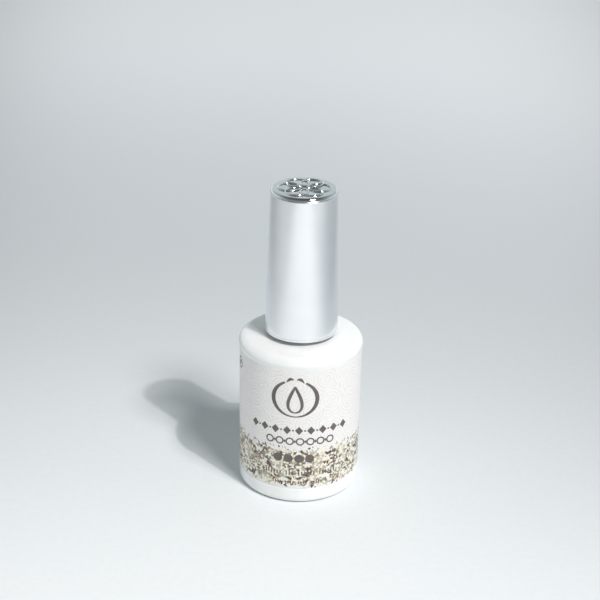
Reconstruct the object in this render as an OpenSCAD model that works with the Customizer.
// Gel polish bottle: a white-coated glass bottle with a wrap label and a tall screw cap that
// carries the brush. Millimetres, +Z up. The origin is the centre of the foot, on the surface
// that the bottle stands on, and the front of the label faces -Y.

/* [Glass bottle] */
// Largest radius, at the shoulder
shoulder_r = 15.1; // [15:0.1:15.4]
// Height of the shoulder's outer edge
shoulder_edge_z = 39.35; // [39:0.05:39.5]
// Rise of the domed shoulder from its edge to the neck
shoulder_rise = 0.35; // [0.2:0.05:0.5]
// Rounding between the side and the shoulder
shoulder_round = 2.0; // [1.8:0.1:2.4]
// Radius at the heel
heel_r = 14.95; // [14.9:0.05:15]
// Rounding between the side and the foot
heel_round = 1.5; // [1:0.1:1.8]
// Radius of the shallow panel that the label lies in
panel_r = 14.8; // [14.7:0.01:14.8]
// Thickness of the glass at the side
glass_wall = 2.2; // [2:0.1:2.4]
// Thickness of the glass under the lowest ring of the floor
glass_floor = 4.0; // [3.6:0.1:4.2]
// Depth of the hollow under the foot
foot_hollow = 0.7; // [0.5:0.1:0.9]

/* [Neck and thread] */
// Outer radius of the neck
neck_r = 5.75; // [5.6:0.05:5.8]
// Radius of the opening
bore_r = 3.75; // [3.6:0.05:3.9]
// Height of the rim above the table
rim_z = 51.1; // [51:0.1:51.2]
// Radius over the thread on the neck
thread_r = 6.45; // [6.4:0.05:6.45]
// Rise of the thread in one turn (12 turns to the inch)
thread_pitch = 2.1167; // [2:0.0001:2.2]
// Turns of thread in contact
thread_turns = 1.5; // [1.25:0.25:1.75]

/* [Label] */
// Height of the label's lower edge
label_low_z = 4.4; // [4.4:0.1:4.8]
// Height of the label's upper edge
label_high_z = 36.3; // [36:0.1:36.6]
// Thickness of the label film
label_t = 0.1; // [0.08:0.01:0.12]
// Width of the gap between the label's ends, at the back
label_gap = 1.2; // [0.8:0.1:2]

/* [Contents] */
// Height of the polish in the bottle
fill_z = 35.2; // [30:0.1:35.2]
// Radius of a mixing ball
ball_r = 2.0; // [1.8:0.1:2]

/* [Cap] */
// Height of the sleeve's lower edge
sleeve_low_z = 40.68; // [40.6:0.01:40.8]
// Height of the sleeve's upper edge
sleeve_high_z = 75.28; // [75:0.01:76]
// Outer radius of the sleeve at its lower edge
sleeve_low_r = 8.79; // [8.78:0.01:8.9]
// Outer radius of the sleeve at its upper edge
sleeve_high_r = 7.9; // [7.88:0.01:8]
// Thickness of the sleeve
sleeve_t = 0.45; // [0.4:0.01:0.45]
// Thickness of the top plate's disc
plate_t = 0.95; // [0.9:0.05:1.1]
// Height of the emblem above the disc
emblem_h = 0.35; // [0.2:0.05:0.5]

/* [Brush] */
// Radius of the stem
stem_r = 1.5; // [1.4:0.05:1.5]
// Radius of the stem's thicker end, which holds the bristles
stem_end_r = 1.75; // [1.7:0.05:1.8]
// Height of the stem's lower end
stem_low_z = 20.5; // [19:0.1:21]
// Height of the bristle tips
tip_z = 5.6; // [5.4:0.1:6]
// Largest radius of the bristle tuft
tuft_r = 1.8; // [1.6:0.1:2]

/* [Hidden] */
$fn = 96;

// Clearances: parts that are fixed together, and parts that slide or turn on each other
fixed_gap = 0.02;
running_gap = 0.05;
// Steps in a quarter circle of an outline, and in one turn of thread
quarter_steps = 10;
turn_steps = 36;

// Glass: outline of the shoulder, the neck and the cavity
shoulder_round_r = shoulder_r - shoulder_round;
shoulder_round_z = shoulder_edge_z - shoulder_round;
shoulder_top_z = shoulder_edge_z + shoulder_rise;
neck_fillet = 1.2;
lip_round = 0.45;
foot_low_r = heel_r - heel_round;
foot_ring = 1.5;
foot_ramp = 0.8;
panel_step = 0.2;
panel_low_z = label_low_z - panel_step;
panel_high_z = label_high_z + panel_step;
cavity_r = panel_r - glass_wall;
floor_round = 2.5;
floor_ring_r = cavity_r - floor_round;
floor_rise = 0.8;
floor_flat_r = 7;
ceiling_z = shoulder_edge_z - 2.15;
ceiling_round = 1.8;
throat_r = 5;
throat_h = 1.4;

// Thread: both ridges are true helices, and their crests just clear each other
thread_low_z = 43.6;
thread_root_sink = 0.25;
ridge_root_w = 1.5;
ridge_crest_w = 0.5;
ridge_fade_turns = 0.12;
crest_gap = 0.17;

// Contents: the polish leaves room for the brush and for the balls
brush_room_r = 2.5;
ball_room_r = 7.8;
ball_room_z = 8.5;
ball_lift = 0.1;
ball_spacing = 0.06;
ball_place = 255;

// Cap: the inner cap follows the taper of the sleeve
sleeve_taper = (sleeve_low_r - sleeve_high_r) / (sleeve_high_z - sleeve_low_z);
sleeve_edge_round = 0.2;
sleeve_hem = 0.6;
sleeve_hem_t = 0.1;
sleeve_top_round = 0.3;
sleeve_mouth_r = 6.4;
rib_h = 0.13;
rib_angle = 5;
rib_count = 12;
skirt_r = 7.25;
skirt_low_z = sleeve_low_z + 0.42;
skirt_lead = 0.3;
washer_t = 1.0;
washer_low_z = rim_z + fixed_gap;
flange_low_z = washer_low_z + washer_t + fixed_gap;
flange_t = 0.8;
deck_low_z = flange_low_z + flange_t + running_gap;
deck_t = 1.6;
tube_r = 6.3;
tube_high_z = sleeve_high_z - sleeve_t - 0.13;
socket_high_z = deck_low_z + 7;
hub_r = 2.7;
hub_high_z = socket_high_z + 1.3;
gusset_count = 6;
gusset_t = 0.8;
gusset_high_z = hub_high_z - 0.7;

// Top plate: a disc with a rounded rim, a skirt that plugs the inner cap, and a raised rosette
plate_low_z = sleeve_high_z + fixed_gap;
plate_high_z = plate_low_z + plate_t;
plate_rim_round = 0.8;
plate_skirt_r = 6.2;
plate_skirt_t = 0.8;
plate_skirt_h = 3.3;
rosette_rings = 6;
rosette_ring_r = 2.9;
rosette_centre_r = 3.4;
rosette_line = 0.5;

// Brush: sizes of the seal, the flange and the bristle socket
washer_r = 6.4;
washer_hole_r = stem_r + 0.1;
flange_r = 6.2;
stem_taper = 0.3;
socket_r = 1.15;
socket_depth = 3.2;
stem_end_h = 6.5;
staple_w = 3.0;
staple_t = 0.25;
staple_h = 1.5;

// Points on an arc about [x, z], from one angle to another
function arc(x, z, r, from, to, steps = quarter_steps) =
    [for (i = [0:steps]) let (a = from + (to - from) * i / steps) [x + r * cos(a), z + r * sin(a)]];

// Outer radius of the sleeve, and of the inner cap under it, at a height
function sleeve_outer(z) = sleeve_low_r - sleeve_taper * (z - sleeve_low_z);
function inner_cap_outer(z) = sleeve_outer(z) - sleeve_t - sleeve_hem_t - rib_h;

// How far a ridge has grown at a number of turns along it: 0 at both ends, 1 in between
function ridge_growth(turn, turns) = min(1, turn / ridge_fade_turns, (turns - turn) / ridge_fade_turns);

// Helical ridge from radius root_r to radius crest_r, starting at height low_z
module thread_ridge(root_r, crest_r, low_z) {
    steps = round(turn_steps * thread_turns);
    side = sign(crest_r - root_r);
    rings = [for (i = [0:steps])
        let (
            turn = i / turn_steps,
            a = 360 * turn,
            z = low_z + thread_pitch * turn,
            skin_r = root_r + side * thread_root_sink,
            tip_r = skin_r + (crest_r - skin_r) * ridge_growth(turn, thread_turns) + side * 0.02,
            section = [[root_r, -ridge_root_w / 2], [tip_r, -ridge_crest_w / 2],
                       [tip_r, ridge_crest_w / 2], [root_r, ridge_root_w / 2]]
        )
        [for (p = section) [p[0] * cos(a), p[0] * sin(a), z + p[1]]]];
    corners = 4;
    points = [for (ring = rings) each ring];
    walls = [for (i = [0:steps - 1], k = [0:corners - 1])
        let (low = i * corners, next = (k + 1) % corners)
        each [[low + k, low + next, low + corners + k],
              [low + next, low + corners + next, low + corners + k]]];
    last = steps * corners;
    ends = [[0, 2, 1], [0, 3, 2], [last, last + 1, last + 2], [last, last + 2, last + 3]];
    faces = concat(walls, ends);
    polyhedron(points, side > 0 ? faces : [for (f = faces) [f[2], f[1], f[0]]]);
}

module glass_bottle() {
    dome_angle = atan(shoulder_rise / (shoulder_round_r - neck_r - neck_fillet));
    outside = concat(
        [[0, foot_hollow], [foot_low_r - foot_ring - foot_ramp, foot_hollow], [foot_low_r - foot_ring, 0]],
        arc(foot_low_r, heel_round, heel_round, -90, 0),
        [[heel_r, panel_low_z - panel_step], [panel_r, panel_low_z],
         [panel_r, panel_high_z], [shoulder_r - 0.02, panel_high_z + 0.1]],
        arc(shoulder_round_r, shoulder_round_z, shoulder_round, 0, 90 - dome_angle),
        arc(neck_r + neck_fillet, shoulder_top_z + neck_fillet, neck_fillet, 270, 180),
        arc(neck_r - lip_round, rim_z - lip_round, lip_round, 0, 90, 5)
    );
    inside = concat(
        arc(bore_r + lip_round, rim_z - lip_round, lip_round, 90, 180, 5),
        [[bore_r, ceiling_z + throat_h], [throat_r, ceiling_z]],
        arc(cavity_r - ceiling_round, ceiling_z - ceiling_round, ceiling_round, 90, 0),
        arc(floor_ring_r, glass_floor + floor_round, floor_round, 0, -90),
        [[floor_flat_r, glass_floor + floor_rise * 0.8], [0, glass_floor + floor_rise]]
    );
    color([0.95, 0.95, 0.94]) {
        rotate_extrude()
            polygon(concat(outside, inside));
        thread_ridge(neck_r - thread_root_sink, thread_r, thread_low_z);
    }
}

module wrap_label() {
    inner_r = panel_r + 0.01;
    gap_angle = label_gap / panel_r * 180 / PI;
    color([0.9, 0.89, 0.86])
        rotate(90 + gap_angle / 2)
            rotate_extrude(angle = 360 - gap_angle)
                translate([inner_r, label_low_z])
                    square([label_t, label_high_z - label_low_z]);
}

module gel_polish() {
    fill_r = cavity_r - fixed_gap;
    low_z = glass_floor + floor_rise + fixed_gap;
    color([0.62, 0.5, 0.32])
        rotate_extrude()
            polygon([
                [brush_room_r, low_z],
                [ball_room_r, low_z],
                [ball_room_r, ball_room_z],
                [fill_r, ball_room_z],
                [fill_r, fill_z],
                [brush_room_r, fill_z]
            ]);
}

// One of the two balls that lie side by side on the lowest ring of the floor
module mixing_ball(side) {
    half_step = asin((ball_r + ball_spacing / 2) / floor_ring_r);
    color([0.75, 0.76, 0.78])
        rotate(ball_place + side * half_step)
            translate([floor_ring_r, 0, glass_floor + ball_r + ball_lift])
                sphere(ball_r);
}

module sealing_washer() {
    color([0.93, 0.94, 0.92])
        translate([0, 0, washer_low_z])
            difference() {
                cylinder(h = washer_t, r = washer_r);
                translate([0, 0, -1])
                    cylinder(h = washer_t + 2, r = washer_hole_r);
            }
}

// The staple's own shape, grown by gap for the slots that it sits in
module staple_shape(gap) {
    top_z = stem_low_z + socket_depth + staple_h - 0.2;
    translate([-staple_w / 2 - gap, -staple_t / 2 - gap, top_z - staple_h - gap])
        cube([staple_w + 2 * gap, staple_t + 2 * gap, staple_h + 2 * gap]);
}

module brush_stem() {
    spigot_r = stem_r - 0.04;
    spigot_high_z = socket_high_z - 0.2;
    shoulder_z = stem_low_z + stem_end_h;
    color([0.96, 0.96, 0.95])
        difference() {
            rotate_extrude()
                polygon([
                    [0, stem_low_z + socket_depth + staple_h],
                    [socket_r, stem_low_z + socket_depth + staple_h],
                    [socket_r, stem_low_z],
                    [stem_end_r - 0.2, stem_low_z],
                    [stem_end_r, stem_low_z + 0.2],
                    [stem_end_r, shoulder_z],
                    [stem_r, shoulder_z + stem_taper],
                    [stem_r, flange_low_z],
                    [flange_r, flange_low_z],
                    [flange_r, flange_low_z + flange_t],
                    [spigot_r, flange_low_z + flange_t],
                    [spigot_r, spigot_high_z - stem_taper],
                    [spigot_r - stem_taper, spigot_high_z],
                    [0, spigot_high_z]
                ]);
            staple_shape(fixed_gap);
        }
}

module bristle_tuft() {
    neck_top_z = stem_low_z + socket_depth + 0.4;
    length = stem_low_z - tip_z;
    held_r = socket_r - fixed_gap;
    color([0.2, 0.18, 0.17])
        difference() {
            rotate_extrude()
                polygon(concat(
                    [[0, neck_top_z], [held_r, neck_top_z], [held_r, stem_low_z - 0.2],
                     [tuft_r * 0.9, stem_low_z - length * 0.5], [tuft_r, stem_low_z - length * 0.75]],
                    [for (i = [0:quarter_steps]) let (a = 90 * i / quarter_steps)
                        [tuft_r * cos(a), tip_z + tuft_r - tuft_r * sin(a)]]
                ));
            staple_shape(fixed_gap);
        }
}

module tuft_staple() {
    color([0.7, 0.7, 0.72])
        staple_shape(0);
}

module inner_cap() {
    socket_wall_r = stem_r - 0.04 + running_gap;
    color([0.88, 0.88, 0.87]) {
        rotate_extrude()
            polygon([
                [0, socket_high_z],
                [socket_wall_r, socket_high_z],
                [socket_wall_r, deck_low_z],
                [skirt_r, deck_low_z],
                [skirt_r, skirt_low_z + skirt_lead],
                [skirt_r + skirt_lead, skirt_low_z],
                [inner_cap_outer(skirt_low_z), skirt_low_z],
                [inner_cap_outer(tube_high_z), tube_high_z],
                [tube_r, tube_high_z],
                [tube_r, deck_low_z + deck_t],
                [hub_r, deck_low_z + deck_t],
                [hub_r, hub_high_z],
                [0, hub_high_z]
            ]);
        thread_ridge(skirt_r + thread_root_sink, thread_r + crest_gap, thread_low_z + thread_pitch / 2);
        for (i = [0:rib_count - 1])
            rotate(360 * i / rib_count)
                grip_rib();
        for (i = [0:gusset_count - 1])
            rotate(360 * i / gusset_count)
                translate([hub_r - 0.3, -gusset_t / 2, deck_low_z + deck_t - 0.2])
                    cube([tube_r - hub_r + 0.6, gusset_t, gusset_high_z - deck_low_z - deck_t + 0.2]);
    }
}

// One of the low ribs that grip the sleeve
module grip_rib() {
    low_z = skirt_low_z + 1;
    high_z = tube_high_z - 1;
    root = 0.3;
    rotate_extrude(angle = rib_angle)
        polygon([
            [inner_cap_outer(low_z) - root, low_z],
            [inner_cap_outer(low_z) + rib_h, low_z],
            [inner_cap_outer(high_z) + rib_h, high_z],
            [inner_cap_outer(high_z) - root, high_z]
        ]);
}

module cap_sleeve() {
    hem_r = sleeve_outer(sleeve_low_z) - sleeve_t - sleeve_hem_t;
    edge = sleeve_edge_round;
    hem_high_z = sleeve_low_z + sleeve_hem;
    color([0.8, 0.81, 0.85])
        rotate_extrude()
            polygon(concat(
                arc(sleeve_low_r - edge, sleeve_low_z + edge, edge, -90, 0, 5),
                arc(sleeve_high_r - sleeve_top_round, sleeve_high_z - sleeve_top_round,
                    sleeve_top_round, 0, 90, 6),
                [[sleeve_mouth_r, sleeve_high_z],
                 [sleeve_mouth_r, sleeve_high_z - sleeve_t],
                 [sleeve_outer(sleeve_high_z - sleeve_t) - sleeve_t, sleeve_high_z - sleeve_t],
                 [sleeve_outer(hem_high_z) - sleeve_t, hem_high_z]],
                arc(hem_r + edge, sleeve_low_z + edge, edge, 180, 270, 5)
            ));
}

module cap_top_plate() {
    skirt_low = plate_low_z - plate_skirt_h;
    color([0.72, 0.73, 0.75]) {
        rotate_extrude()
            polygon(concat(
                [[0, plate_low_z], [plate_skirt_r - plate_skirt_t, plate_low_z],
                 [plate_skirt_r - plate_skirt_t, skirt_low], [plate_skirt_r, skirt_low],
                 [plate_skirt_r, plate_low_z], [sleeve_high_r - 0.1, plate_low_z]],
                arc(sleeve_high_r - plate_rim_round, plate_high_z - plate_rim_round,
                    plate_rim_round, 0, 90),
                [[0, plate_high_z]]
            ));
        translate([0, 0, plate_high_z - 0.1])
            linear_extrude(emblem_h + 0.1)
                rosette();
    }
}

// Flat pattern of interlaced rings
module rosette() {
    for (i = [0:rosette_rings - 1])
        rotate(360 * i / rosette_rings)
            translate([rosette_centre_r, 0])
                difference() {
                    circle(rosette_ring_r);
                    circle(rosette_ring_r - rosette_line);
                }
}

glass_bottle();
wrap_label();
gel_polish();
mixing_ball(-1);  // mixing_ball_a
mixing_ball(1);  // mixing_ball_b
sealing_washer();
brush_stem();
bristle_tuft();
tuft_staple();
inner_cap();
cap_sleeve();
cap_top_plate();
